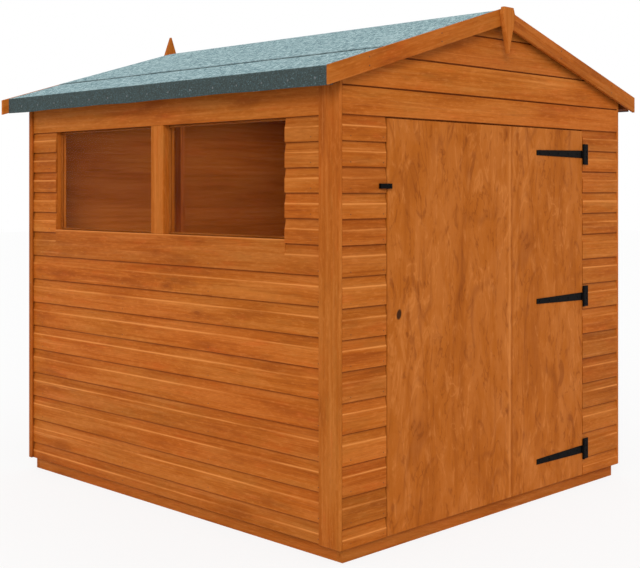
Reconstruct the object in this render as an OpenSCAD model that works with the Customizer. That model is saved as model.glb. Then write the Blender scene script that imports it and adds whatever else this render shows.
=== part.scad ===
// Apex garden shed with a wide gable door, two side windows and a felted roof.
// Millimetres. +X is to the right seen from the door, +Y runs back along the shed, +Z is up.
// The origin is on the ground, under the middle of the walls.

/* [Walls] */
// Width across the gable, outside the boards
wall_w = 1806; // [1600:1:2400]
// Length of the side walls, outside the boards
wall_l = 2130; // [1960:1:3000]
// Height of the side walls, from the boards' lower edge to the window head
head_h = 1553; // [1300:1:2000]
// Height of the frieze board over the window head, at its outer face
frieze_h = 174; // [120:1:300]
// Thickness of the wall boards
board_t = 12; // [8:1:20]
// Depth of the wall framing
frame_d = 44; // [35:1:70]
// Face width of the wall framing
frame_w = 28; // [20:1:50]
// Thickness of the corner trims
trim_t = 12; // [8:1:20]
// Width of the corner trims at the door end
trim_front_w = 112; // [40:1:140]
// Width of the corner trims at the back end
trim_back_w = 24; // [20:1:140]

/* [Windows] */
// Width of one window opening
window_w = 758; // [400:1:850]
// Height of the window openings
window_h = 456; // [300:1:700]
// Width of the mullion between the windows
mullion_w = 86; // [60:1:140]
// Side wall from the door end to the first window
window_from_front = 308; // [200:1:360]
// Thickness of the window panes
pane_t = 4; // [2:1:6]

/* [Door] */
// Width of the doorway
doorway_w = 1292; // [800:1:1350]
// Wall boards from the latch corner to the doorway
latch_side_w = 229; // [180:1:260]
// Gap round the door
door_gap = 6; // [5:0.5:10]
// Width of the wider of the two door sheets, on the latch side
door_sheet_w = 758; // [500:1:780]
// Thickness of the ledges and braces
ledge_t = 28; // [18:1:34]
// Height of a ledge
ledge_h = 95; // [60:1:120]

/* [Hinges] */
// Length of a hinge strap, from its pin
strap_l = 352; // [200:1:450]
// Height of the strap at its root
strap_root_h = 34; // [24:1:40]
// Height of the strap at its tip
strap_tip_h = 22; // [12:1:30]
// Thickness of the hinge metal
hinge_t = 3; // [2:0.5:4]
// Height of the hinge plate
plate_h = 92; // [70:1:130]
// Width of the hinge plate
plate_w = 34; // [25:1:45]
// Radius of the hinge pin
pin_r = 3; // [2:0.5:3.5]
// Middle hinge above the wall boards' lower edge
hinge_mid = 805; // [600:1:1000]
// Door's lower edge to the middle of the bottom hinge
hinge_low = 116; // [70:1:200]
// Door's upper edge to the middle of the top hinge
hinge_top = 105; // [70:1:200]

/* [Latch] */
// Middle of the latch above the wall boards' lower edge
latch_up = 1296; // [900:1:1400]
// Height of the latch
latch_h = 19; // [15:1:40]
// How far the latch arm reaches over the wall from the doorway
latch_reach = 41; // [30:1:60]
// Width of the block that carries the arm on the door
latch_block_w = 14; // [10:1:40]
// Thickness of the arm
latch_arm_t = 3; // [2:0.5:6]
// Thickness of the keeper on the wall
keeper_t = 2; // [1:0.5:4]
// Gap between the arm and the keeper, so that the door can swing
latch_gap = 5; // [5:0.5:8]

/* [Roof] */
// Roof rise for each millimetre across
slope = 0.31; // [0.2:0.01:0.6]
// Outer face of the wall boards to the end of the bargeboards, at the eaves
eaves_over = 97; // [60:1:140]
// Overhang of the deck at the door end
verge_front = 20; // [10:1:120]
// Overhang of the deck at the back end
verge_back = 90; // [10:1:120]
// Thickness of the roof deck
deck_t = 12; // [9:1:20]
// Thickness of one layer of felt
felt_t = 3; // [2:0.5:5]
// Height of the felt that is folded down at the eaves
felt_drop = 72; // [50:1:90]
// Ridge to the lower edge of the ridge felt, measured across
seam_x = 698; // [400:1:850]
// Height of the bargeboards, measured plumb
barge_h = 70; // [60:1:120]
// Thickness of the bargeboards
barge_t = 15; // [12:1:28]
// How far the bargeboards run past the deck at the eaves
barge_over = 32; // [5:1:50]
// How far the back bargeboards are set below the front ones
barge_back_low = 4; // [0:0.5:10]
// Width of a finial
finial_w = 84; // [60:1:120]
// Thickness of a finial
finial_t = 20; // [12:1:30]

/* [Floor] */
// Height of the floor bearers
bearer_h = 58; // [44:1:100]
// Width of the floor bearers
bearer_w = 44; // [30:1:75]
// Thickness of the floor deck
floor_t = 14; // [12:1:22]
// Thickness of the boards across the bearers' ends
floor_end_t = 28; // [18:1:40]
// How far the floor's edge lies behind the wall boards
floor_in = 8; // [4:1:20]
// How far the wall boards hang below the floor's surface
skirt = 20; // [10:1:40]
// Number of bearers
bearers = 5; // [3:1:7]

/* [Back wall] */
// Middle of the centre stud from the middle of the shed
back_stud = -46; // [-200:1:200]

/* [Hidden] */

TIMBER = "#b5652a";
ROUGH = "#a4602f";
FELT = "#7d9c9c";
IRON = "#17181a";

// Plan lines: half sizes to the outside of the boards, and in steps towards the room.
wx = wall_w / 2;
wy = wall_l / 2;
bx = wx - board_t;
by = wy - board_t;
rx = bx - frame_d;
ry = by - frame_d;

// Levels above the ground.
floor_z = bearer_h + floor_t;
wall_z = floor_z - skirt;
head_z = wall_z + head_h;
sill_z = head_z - window_h;

// Roof planes. under_0 is the deck's underside at the ridge, and level n is n plumb thicknesses up.
plumb = sqrt(1 + slope * slope);
pitch = atan(slope);
plate_z = head_z + frieze_h;               // deck underside over the wall boards' outer face
under_0 = plate_z + slope * wx;
deck_0 = under_0 + deck_t * plumb;
felt_0 = deck_0 + felt_t * plumb;
ridge_0 = felt_0 + felt_t * plumb;
barge_x = wx + eaves_over;
deck_x = barge_x - barge_over;
barge_0 = ridge_0 + 2;                     // bargeboards stand 2 above the ridge felt
roof_y0 = -wy - verge_front;
roof_y1 = wy + verge_back;

// Door and hinge lines.
door_x0 = -wx + latch_side_w;
door_x1 = door_x0 + doorway_w;
leaf_x0 = door_x0 + door_gap;
leaf_x1 = door_x1 - door_gap;
leaf_z0 = wall_z + 2;
leaf_z1 = head_z - door_gap;
seam_gap = 0.4;
pin_x = door_x1 - door_gap / 2;
knuckle_t = 2.2;       // metal round the pin
knuckle_r = pin_r + knuckle_t;
knuckle_gap = 1;       // knuckles to the boards and to the other leaf's edge
pin_y = -wy - knuckle_r - knuckle_gap;
pin_play = 0.1;
hinge_zs = [leaf_z0 + hinge_low, wall_z + hinge_mid, leaf_z1 - hinge_top];

// Window lines along the left wall.
win_y0 = -wy + window_from_front;
win_y1 = win_y0 + window_w;
win_y2 = win_y1 + mullion_w;
win_y3 = win_y2 + window_w;

fit = 0.5; // clearance between pieces that only lie beside each other

// A box between two corners.
module block(a, b) {
  translate(a) cube(b - a);
}

// A shape drawn in the XZ plane and carried from y0 to y1.
module along_y(y0, y1) {
  translate([0, y1, 0]) rotate([90, 0, 0]) linear_extrude(y1 - y0) children();
}

// A mirrored copy for the right-hand side.
module on_side(side) {
  mirror([side > 0 ? 1 : 0, 0, 0]) children();
}

// Left-hand band that follows the roof, from x = -a to x = -b, between two roof levels.
module roof_band(a, b, low, high) {
  polygon([
    [-a, low - slope * a], [-a, high - slope * a],
    [-b, high - slope * b], [-b, low - slope * b]
  ]);
}

// Area under the deck, for cutting gables to the roof. It stops at half width a.
module under_roof(a, z0) {
  polygon([
    [-a, z0], [-a, under_0 - slope * a], [0, under_0],
    [a, under_0 - slope * a], [a, z0]
  ]);
}

// ---------- Floor ----------

module floor_bearers() {
  color(TIMBER)
  for (i = [0 : bearers - 1]) {
    x = -bx + floor_in + i * (2 * (bx - floor_in) - bearer_w) / (bearers - 1);
    block([x, -by + floor_in + floor_end_t, 0], [x + bearer_w, by - floor_in - floor_end_t, bearer_h]);
  }
}

module floor_end_boards() {
  color(TIMBER)
  for (side = [0, 1]) mirror([0, side, 0])
    block([-bx + floor_in, -by + floor_in, 0], [bx - floor_in, -by + floor_in + floor_end_t, bearer_h]);
}

module floor_deck() {
  color(ROUGH) block([-bx + floor_in, -by + floor_in, bearer_h], [bx - floor_in, by - floor_in, floor_z]);
}

// ---------- Side walls ----------

// Part of the left wall's boards between two places along it and two levels.
module left_boards(y0, y1, z0, z1) {
  color(TIMBER) block([-wx, y0, z0], [-bx, y1, z1]);
}

module left_wall_lower() {
  left_boards(-by, by, wall_z, sill_z);
}

module left_wall_piers() {
  left_boards(-by, win_y0, sill_z, head_z);
  left_boards(win_y3, by, sill_z, head_z);
}

// The plain board over the windows, with its top bevelled to the roof.
module left_wall_frieze() {
  color(TIMBER) along_y(-by, by) wall_top_profile(-wx, -bx, head_z);
}

// Section of a wall piece whose top follows the deck's underside.
module wall_top_profile(x0, x1, z0) {
  polygon([
    [x0, z0], [x0, under_0 + slope * x0],
    [x1, under_0 + slope * x1], [x1, z0]
  ]);
}

module window_mullion() {
  color(TIMBER) block([-wx, win_y1, sill_z], [-bx, win_y2, head_z]);
}

// The panes sit against the back of the framing's outer half.
module window_panes() {
  lap = frame_w / 2;
  color("lightblue", 0.35)
  for (y = [win_y0, win_y2])
    block([-bx + lap, y, sill_z], [-bx + lap + pane_t, y + window_w, head_z]);
}

// Studs of a left-hand wall, at a list of places, from the bottom rail to the top rail.
module side_studs(places) {
  color(ROUGH)
  for (y = places)
    block([-bx, y, floor_z + frame_w], [-rx, y + frame_w, plate_z - frame_w]);
}

module side_rails() {
  color(ROUGH) {
    block([-bx, -ry, floor_z], [-rx, ry, floor_z + frame_w]);
    along_y(-ry, ry) wall_top_profile(-bx, -rx, plate_z - frame_w);
  }
}

stud_ys = [-ry, win_y0 - frame_w, win_y3, ry - frame_w];

module left_wall_studs() {
  side_studs(stud_ys);
  color(ROUGH)
  block([-bx, win_y1, sill_z], [-rx, win_y2, head_z]);
}

// Top and bottom rails, and the rails over and under the windows.
module left_wall_rails() {
  side_rails();
  color(ROUGH) {
    block([-bx, win_y0, sill_z - frame_w], [-rx, win_y3, sill_z]);
    block([-bx, win_y0, head_z], [-rx, win_y3, head_z + frame_w]);
  }
}

module right_wall() {
  color(TIMBER) on_side(1) along_y(-by, by) wall_top_profile(-wx, -bx, wall_z);
}

module right_wall_studs() {
  on_side(1) side_studs([-ry, -ry / 3 - frame_w / 2, ry / 3 - frame_w / 2, ry - frame_w]);
}

module right_wall_rails() {
  on_side(1) side_rails();
}

// ---------- Gable walls ----------

module back_wall() {
  color(TIMBER) along_y(by, wy) under_roof(wx, wall_z);
}

// A stud of a gable wall from the bottom rail up to the tie rail, at place x.
module gable_stud(x, top) {
  block([x, -by, floor_z + frame_w], [x + frame_w, -ry, top]);
}

// The back gable's tie rail sits just below its rafters' feet.
back_tie_z = plate_z - 2 * frame_w - 4;

module back_wall_studs() {
  color(ROUGH) mirror([0, 1, 0])
  for (x = [-bx, back_stud - frame_w / 2, bx - frame_w])
    gable_stud(x, back_tie_z);
}

module back_wall_rails() {
  color(ROUGH) mirror([0, 1, 0]) {
    block([-bx, -by, floor_z], [bx, -ry, floor_z + frame_w]);
    block([-bx, -by, back_tie_z], [bx, -ry, back_tie_z + frame_w]);
  }
}

module front_wall_latch_side() {
  color(TIMBER) block([-wx, -wy, wall_z], [door_x0, -by, head_z]);
}

module front_wall_hinge_side() {
  color(TIMBER) block([door_x1, -wy, wall_z], [wx, -by, head_z]);
}

module front_gable() {
  color(TIMBER) along_y(-wy, -by) under_roof(wx, head_z);
}

module front_wall_studs() {
  color(ROUGH)
  for (x = [-bx, door_x0 - frame_w, door_x1, bx - frame_w])
    gable_stud(x, head_z);
}

// Bottom rails on each side of the doorway, and the rail over it.
module front_wall_rails() {
  color(ROUGH) {
    block([-bx, -by, floor_z], [door_x0, -ry, floor_z + frame_w]);
    block([door_x1, -by, floor_z], [bx, -ry, floor_z + frame_w]);
    block([-bx, -by, head_z], [bx, -ry, head_z + frame_w]);
  }
}

// Slips that the door closes against, just behind its sheets.
stop_t = 12;
stop_w = 20;
stop_gap = 5;    // slips behind the closed door's sheets
stop_joint = 1;  // side slips below the top one

module door_stops() {
  y0 = -by + stop_gap;
  side_top = head_z - stop_w - stop_joint;
  color(ROUGH) {
    block([door_x0, y0, floor_z], [door_x0 + stop_t, y0 + stop_t, side_top]);
    block([door_x1 - stop_t, y0, floor_z], [door_x1, y0 + stop_t, side_top]);
    block([door_x0, y0, head_z - stop_w], [door_x1, y0 + stop_t, head_z]);
  }
}

// Sloping rails under the deck at both gables, clear of the ridge batten and the side walls.
module gable_rafters() {
  color(ROUGH)
  for (back = [0, 1]) mirror([0, back, 0])
    for (side = [-1, 1]) on_side(side)
      along_y(-by, -ry) roof_band(bx - fit, frame_w / 2 + fit, under_0 - frame_w * plumb, under_0);
}

// ---------- Corner trims ----------

module corner_trims(y0, y1) {
  color(TIMBER)
  for (side = [-1, 1]) on_side(side)
    along_y(y0, y1) wall_top_profile(-wx - trim_t, -wx, wall_z);
}

module corner_trims_front() {
  corner_trims(-wy, -wy + trim_front_w);
}

module corner_trims_back() {
  corner_trims(wy - trim_back_w, wy);
}

// ---------- Roof ----------

module roof_deck(side) {
  color(ROUGH) on_side(side) along_y(roof_y0, roof_y1) roof_band(deck_x, 0, under_0, deck_0);
}

module roof_deck_left() {
  roof_deck(-1);
}

module roof_deck_right() {
  roof_deck(1);
}

// Battens under the deck: one at each eaves, one half way up each slope and one at the ridge.
eaves_batten_h = felt_drop - 18;
ridge_batten_h = frame_d + 20;

module roof_battens() {
  color(ROUGH) {
    for (side = [-1, 1]) on_side(side) {
      along_y(roof_y0, roof_y1) roof_band(deck_x, deck_x - frame_w, under_0 - eaves_batten_h, under_0);
      along_y(-ry, ry) roof_band(wx / 2 + frame_w / 2, wx / 2 - frame_w / 2, under_0 - frame_d, under_0);
    }
    along_y(-by, by) polygon([
      [-frame_w / 2, under_0 - ridge_batten_h], [-frame_w / 2, under_0 - slope * frame_w / 2],
      [0, under_0], [frame_w / 2, under_0 - slope * frame_w / 2], [frame_w / 2, under_0 - ridge_batten_h]
    ]);
  }
}

// Felt over one slope, folded down over the eaves.
module roof_felt(side) {
  edge = deck_x + felt_t;
  top = felt_0 - slope * edge;
  color(FELT) on_side(side) along_y(roof_y0, roof_y1) polygon([
    [0, deck_0], [0, felt_0], [-edge, top],
    [-edge, top - felt_drop], [-deck_x, top - felt_drop], [-deck_x, deck_0 - slope * deck_x]
  ]);
}

module roof_felt_left() {
  roof_felt(-1);
}

module roof_felt_right() {
  roof_felt(1);
}

module roof_felt_ridge() {
  color(FELT) along_y(roof_y0, roof_y1) polygon([
    [-seam_x, felt_0 - slope * seam_x], [-seam_x, ridge_0 - slope * seam_x], [0, ridge_0],
    [seam_x, ridge_0 - slope * seam_x], [seam_x, felt_0 - slope * seam_x], [0, felt_0]
  ]);
}

module bargeboard(side, y0, top) {
  color(TIMBER) on_side(side) along_y(y0, y0 + barge_t) roof_band(barge_x, 0, top - barge_h, top);
}

module bargeboard_front_left() {
  bargeboard(-1, roof_y0 - barge_t, barge_0);
}

module bargeboard_front_right() {
  bargeboard(1, roof_y0 - barge_t, barge_0);
}

module bargeboard_back_left() {
  bargeboard(-1, roof_y1, barge_0 - barge_back_low);
}

module bargeboard_back_right() {
  bargeboard(1, roof_y1, barge_0 - barge_back_low);
}

// A flat kite-shaped finial, drawn from the bargeboards' top. A cut one stops just above them.
finial_mid = -30;      // widest line
finial_up = 114;       // widest line to the upper point
finial_down = 158;     // widest line to the lower point
finial_cut = 0.5;      // top of the cut finial, above the bargeboards

module finial_profile(cut) {
  high = finial_mid + finial_up;
  half = finial_w / 2;
  cut_half = half * (high - finial_cut) / finial_up;
  sides = cut ? [[cut_half, finial_cut], [-cut_half, finial_cut]] : [[0, high]];
  translate([0, barge_0])
    polygon(concat([[-half, finial_mid], [0, finial_mid - finial_down], [half, finial_mid]], sides));
}

module finial_front() {
  color(TIMBER) along_y(roof_y0 - barge_t - finial_t, roof_y0 - barge_t) finial_profile(true);
}

module finial_back() {
  color(TIMBER) along_y(roof_y1 + barge_t, roof_y1 + barge_t + finial_t) finial_profile(false);
}

// ---------- Door ----------

sheet_x = leaf_x0 + door_sheet_w;

module door_sheet(x0, x1) {
  color(TIMBER) block([x0, -wy, leaf_z0], [x1, -by, leaf_z1]);
}

module door_sheet_wide() {
  door_sheet(leaf_x0, sheet_x - seam_gap / 2);
}

module door_sheet_narrow() {
  door_sheet(sheet_x + seam_gap / 2, leaf_x1);
}

ledge_inset = 12;
brace_inset = 60;  // braces' ends from the ledges' ends
brace_foot = 110;  // length of a brace's end along a ledge
ledge_zs = [for (z = hinge_zs) max(z - ledge_h / 2, floor_z + door_gap)];

module door_ledges() {
  color(ROUGH)
  for (z = ledge_zs)
    block([leaf_x0 + ledge_inset, -by, z], [leaf_x1 - ledge_inset, -by + ledge_t, z + ledge_h]);
}

// Braces that rise from the hinge side to the latch side, between the ledges.
module door_braces() {
  x0 = leaf_x0 + ledge_inset + brace_inset;
  x1 = leaf_x1 - ledge_inset - brace_inset;
  color(ROUGH)
  for (i = [0, 1]) {
    z0 = ledge_zs[i] + ledge_h + fit;
    z1 = ledge_zs[i + 1] - fit;
    along_y(-by, -by + ledge_t) polygon([[x1, z0], [x1 - brace_foot, z0], [x0, z1], [x0 + brace_foot, z1]]);
  }
}

// ---------- Hinges and latch ----------

strap_knuckle = strap_root_h - 4;
strap_lap = 5;      // how far the knuckle's root laps the strap
plate_lap = 3;      // how far the plate's knuckles lap the plate
knuckle_play = 0.5; // up and down play between the knuckles

// A tapered strap on the door with a knuckle round the pin.
module hinge_strap(z) {
  translate([pin_x, 0, z]) difference() {
    union() {
      along_y(-wy - hinge_t, -wy) polygon([
        [-strap_l, -strap_tip_h / 2], [-strap_l, strap_tip_h / 2],
        [-knuckle_r - knuckle_gap, strap_root_h / 2], [-knuckle_r - knuckle_gap, -strap_root_h / 2]
      ]);
      block([-knuckle_r - knuckle_gap - strap_lap, pin_y - 1, -strap_knuckle / 2], [0, pin_y + 1, strap_knuckle / 2]);
      block([-knuckle_r - knuckle_gap - strap_lap, pin_y - 1, -strap_knuckle / 2], [-knuckle_r - 2 * knuckle_gap, -wy, strap_knuckle / 2]);
      translate([0, pin_y, -strap_knuckle / 2]) cylinder(r = knuckle_r, h = strap_knuckle, $fn = 48);
    }
    translate([0, pin_y, -plate_h]) cylinder(r = pin_r + pin_play, h = 2 * plate_h, $fn = 48);
  }
}

module hinge_straps() {
  color(IRON) for (z = hinge_zs) hinge_strap(z);
}

// A plate on the wall with two knuckles and the pin.
module hinge_plate(z) {
  gap = strap_knuckle / 2 + knuckle_play;
  edge = knuckle_r + knuckle_gap;
  translate([pin_x, 0, z]) {
    block([edge, -wy - hinge_t, -plate_h / 2], [edge + plate_w, -wy, plate_h / 2]);
    translate([0, pin_y, -plate_h / 2]) cylinder(r = pin_r, h = plate_h, $fn = 48);
    for (end = [-1, 1]) mirror([0, 0, end > 0 ? 1 : 0]) {
      translate([0, pin_y, -plate_h / 2]) cylinder(r = knuckle_r, h = plate_h / 2 - gap, $fn = 48);
      block([0, pin_y - 1, -plate_h / 2], [edge + plate_lap, pin_y + 1, -gap]);
      block([edge, pin_y - 1, -plate_h / 2], [edge + plate_lap, -wy, -gap]);
    }
  }
}

module hinge_plates() {
  color(IRON) for (z = hinge_zs) hinge_plate(z);
}

latch_z = wall_z + latch_up;
latch_arm_y = -wy - keeper_t - latch_gap;
latch_end = leaf_x0 + 1;  // where the block starts, just inside the door's edge
keeper_in = 2;            // keeper's edge from the doorway

// A block on the door whose arm reaches over the keeper.
module door_latch() {
  color(IRON) {
    block([latch_end, latch_arm_y - latch_arm_t, latch_z - latch_h / 2], [latch_end + latch_block_w, -wy, latch_z + latch_h / 2]);
    block([door_x0 - latch_reach, latch_arm_y - latch_arm_t, latch_z - latch_h / 2], [latch_end, latch_arm_y, latch_z + latch_h / 2]);
  }
}

module latch_keeper() {
  color(IRON)
  block([door_x0 - latch_reach, -wy - keeper_t, latch_z - latch_h / 2], [door_x0 - keeper_in, -wy, latch_z + latch_h / 2]);
}

// ---------- Assembly ----------

floor_bearers();
floor_end_boards();
floor_deck();
left_wall_lower();
left_wall_piers();
left_wall_frieze();
window_mullion();
window_panes();
left_wall_studs();
left_wall_rails();
right_wall();
right_wall_studs();
right_wall_rails();
back_wall();
back_wall_studs();
back_wall_rails();
front_wall_latch_side();
front_wall_hinge_side();
front_gable();
front_wall_studs();
front_wall_rails();
door_stops();
gable_rafters();
corner_trims_front();
corner_trims_back();
roof_deck_left();
roof_deck_right();
roof_battens();
roof_felt_left();
roof_felt_right();
roof_felt_ridge();
bargeboard_front_left();
bargeboard_front_right();
bargeboard_back_left();
bargeboard_back_right();
finial_front();
finial_back();
door_sheet_wide();
door_sheet_narrow();
door_ledges();
door_braces();
hinge_straps();
hinge_plates();
door_latch();
latch_keeper();
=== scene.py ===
"""Looks of a boarded apex shed: shiplap walls, ply door, felted roof, tee hinges and a plain stage."""

import math

import bpy
import numpy as np
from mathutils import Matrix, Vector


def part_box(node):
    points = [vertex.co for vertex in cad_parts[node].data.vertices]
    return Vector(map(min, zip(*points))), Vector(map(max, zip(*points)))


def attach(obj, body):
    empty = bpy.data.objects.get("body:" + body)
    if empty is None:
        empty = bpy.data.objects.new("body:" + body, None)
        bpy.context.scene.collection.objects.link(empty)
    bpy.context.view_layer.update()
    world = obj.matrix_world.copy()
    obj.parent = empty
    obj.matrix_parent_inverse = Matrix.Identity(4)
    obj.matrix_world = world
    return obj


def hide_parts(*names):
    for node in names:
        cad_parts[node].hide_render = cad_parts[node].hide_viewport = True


bl_info = {
    "name": "Boarded Apex Shed",
    "version": (1, 0, 0),
    "blender": (4, 5, 0),
    "location": "View3D > Sidebar > Shed",
    "description": "Builds the boards, felt, ironmongery and stage of an apex garden shed",
    "category": "Add Mesh",
}

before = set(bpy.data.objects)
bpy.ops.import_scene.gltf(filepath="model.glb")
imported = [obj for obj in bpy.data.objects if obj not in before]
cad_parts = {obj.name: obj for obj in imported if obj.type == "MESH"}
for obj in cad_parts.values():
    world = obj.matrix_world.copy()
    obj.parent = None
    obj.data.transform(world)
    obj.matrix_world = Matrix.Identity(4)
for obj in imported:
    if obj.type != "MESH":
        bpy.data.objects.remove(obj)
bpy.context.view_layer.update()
SHED, DOOR = "shed", "door"

RNG_SEED = 71
WOOD_GLOSS = 0.06
KNOT_PLACE = (-0.606, 0.869)  # x and z of the dead knot in the door
KNOT_SIZE = (0.013, 0.019)
BOARD_EASE = 0.0012  # easing of a wall board's edges
STATION = 0.16  # distance between the sections along a wall board
HEAD_SHOWS = 0.0006  # how far a wall nail's head stands
SIDES = ((-1, "left"), (1, "right"))


# ---- Places read from the frame


def low(node):
    return np.array(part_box(node)[0])


def high(node):
    return np.array(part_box(node)[1])


def node_points(node):
    """The corners of a modelled node's mesh."""
    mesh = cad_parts[node].data
    points = np.empty(len(mesh.vertices) * 3, dtype=np.float32)
    mesh.vertices.foreach_get("co", points)
    return points.reshape(-1, 3)


# Half width and half length outside the boards, and the deck's underside at the ridge.
WALL_X, WALL_Y, APEX_Z = high("back_wall")
BOARD_T = WALL_X + high("left_wall_lower")[0]
INNER_Y = WALL_Y - BOARD_T
WALL_Z = low("right_wall")[2]
SILL_Z = high("left_wall_lower")[2]
HEAD_Z = high("left_wall_piers")[2]
PLATE_Z = high("corner_trims_front")[2]
SLOPE = (APEX_Z - high("left_wall_frieze")[2]) / (WALL_X - BOARD_T)
EAVE_Z = APEX_Z - SLOPE * WALL_X
PLUMB = math.hypot(1.0, SLOPE)
DECK_X = high("roof_deck_right")[0]
ROOF_Y = (low("roof_deck_left")[1], high("roof_deck_left")[1])


# ---- Settings


def colour_prop(name, text, rgb):
    """Colour with its default given in sRGB, 0 to 255: ((c + 0.055) / 1.055) ^ 2.4 above 0.04045, else c / 12.92."""
    c = np.array(rgb) / 255.0
    default = np.where(c > 0.04045, ((c + 0.055) / 1.055) ** 2.4, c / 12.92)
    return bpy.props.FloatVectorProperty(
        name=name, description=text, subtype="COLOR", size=3, min=0.0, max=1.0, default=tuple(map(float, default))
    )


def number_prop(name, text, default, **limits):
    return bpy.props.FloatProperty(name=name, description=text, default=default, **limits)


def length_prop(name, text, default):
    return number_prop(name, text, default, unit="LENGTH", min=0.0, max=1.0)


class TimberSettings(bpy.types.PropertyGroup):
    """Colours and sections of the stained timber."""

    pale: colour_prop("Pale", "Stain where the wood took least of it", (180, 105, 40))
    ply_pale: colour_prop("Ply pale", "Pale parts of the door sheets", (176, 100, 38))
    body: colour_prop("Body", "Main colour of the stained wood", (167, 90, 24))
    # Dark is also the painted shadow under the boards' lips and in their rebates, and Lit, below, also the painted
    # highlight on their arrises.
    dark: colour_prop("Dark", "Latewood, knots and end grain", (112, 48, 8))
    rough_body: colour_prop("Rough body", "Main colour of the rough inner timber", (158, 80, 30))
    lit: colour_prop("Lit", "Arrises where the stain is thinnest", (214, 135, 68))
    course: length_prop("Course", "Height of a full board that shows", 0.112)
    upper_course: length_prop("Upper course", "Height of a board beside the windows", 0.094)
    cove: length_prop("Cove", "Height of the hollow at the top of each board", 0.040)
    cove_depth: length_prop("Cove depth", "Depth of that hollow", 0.0068)
    step: length_prop("Step", "Height of the rebate that shows over a flat board", 0.0055)
    lap: length_prop("Lap", "How far a board laps the one below", 0.008)
    arris: length_prop("Arris", "Easing of sawn edges", 0.0018)
    ring: length_prop("Ring spacing", "Growth ring spacing", 0.0048)
    bead: length_prop("Bead", "Width of the square glazing beads", 0.009)
    floorboards: bpy.props.IntProperty(name="Floorboards", description="Boards in the floor", min=1, default=21)
    roof_board: length_prop("Roof board", "Width of a board of the roof deck", 0.099)


class FeltSettings(bpy.types.PropertyGroup):
    """Mineral felt on the roof."""

    pale: colour_prop("Pale", "Brightest granules", (188, 212, 214))
    body: colour_prop("Body", "Main colour of the granules", (134, 166, 172))
    dark: colour_prop("Dark", "Darkest granules and bare bitumen", (74, 102, 112))
    edge: colour_prop("Edge", "Felt folded down at the eaves", (59, 68, 67))
    granule: length_prop("Granule", "Size of one granule", 0.0024)
    bend: length_prop("Bend", "Radius of the fold at the eaves", 0.004)
    nail_gap: length_prop("Nail gap", "Distance between felt nails", 0.145)


class IronSettings(bpy.types.PropertyGroup):
    """Black ironmongery and nails."""

    black: colour_prop("Black", "Japanned steel", (5, 4, 4))
    zinc: colour_prop("Zinc", "Clout nail heads", (112, 118, 120))
    rust: colour_prop("Rust", "Wall nail heads", (112, 72, 40))
    screw_r: length_prop("Screw radius", "Radius of a screw head", 0.0045)
    nail_r: length_prop("Nail radius", "Radius of an oval nail's head", 0.0022)
    clout_r: length_prop("Clout radius", "Radius of a felt nail's head", 0.0048)


class StageSettings(bpy.types.PropertyGroup):
    """Camera, light and floor."""

    lens: number_prop("Lens", "Focal length", 65.14, unit="CAMERA")
    eye: bpy.props.FloatVectorProperty(
        name="Eye", description="Camera position", subtype="XYZ", unit="LENGTH", default=(-3.7916, -3.9891, 1.3323)
    )
    heading: number_prop("Heading", "Camera heading from +Y towards +X", 0.8127, subtype="ANGLE")
    shift: bpy.props.FloatVectorProperty(name="Shift", description="Lens shift", size=2, default=(-0.0955, -0.1463))
    sky: number_prop("Sky", "Strength of the even light", 0.66, min=0.0)
    sun: number_prop("Sun", "Strength of the soft main light", 1.92, min=0.0)
    sun_tilt: number_prop("Sun tilt", "Main light from overhead", math.radians(63), subtype="ANGLE")
    sun_turn: number_prop("Sun turn", "Main light from the door's side", math.radians(-48), subtype="ANGLE")
    sun_size: number_prop("Sun size", "Softness of the main light", math.radians(28), subtype="ANGLE")
    room: number_prop("Room", "Power of the soft light in the room", 14.0, min=0.0)
    floor: number_prop("Floor", "Brightness of the floor", 0.96, min=0.0, max=1.0)
    whitening: number_prop(
        "Whitening", "Share of plain white in the floor as seen", 0.8, subtype="FACTOR", min=0.0, max=1.0
    )


# ---- Meshes from arrays


def xyz(x, y, z):
    """Points from three coordinates that broadcast together."""
    return np.stack(np.broadcast_arrays(x, y, z), axis=-1)


def add_object(name, data):
    made = bpy.data.objects.new(name, data)
    bpy.context.scene.collection.objects.link(made)
    return made


def volume(grid):
    """Six times the volume inside a closed tube: the sum over quads of a . (b x c) and a . (c x d)."""
    grid = grid - grid.reshape(-1, 3).mean(axis=0)
    ahead = np.roll(grid, -1, axis=1)
    a, b, c, d = grid[:-1], ahead[:-1], ahead[1:], grid[1:]
    return np.sum(a * np.cross(b, c)) + np.sum(a * np.cross(c, d))


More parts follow.
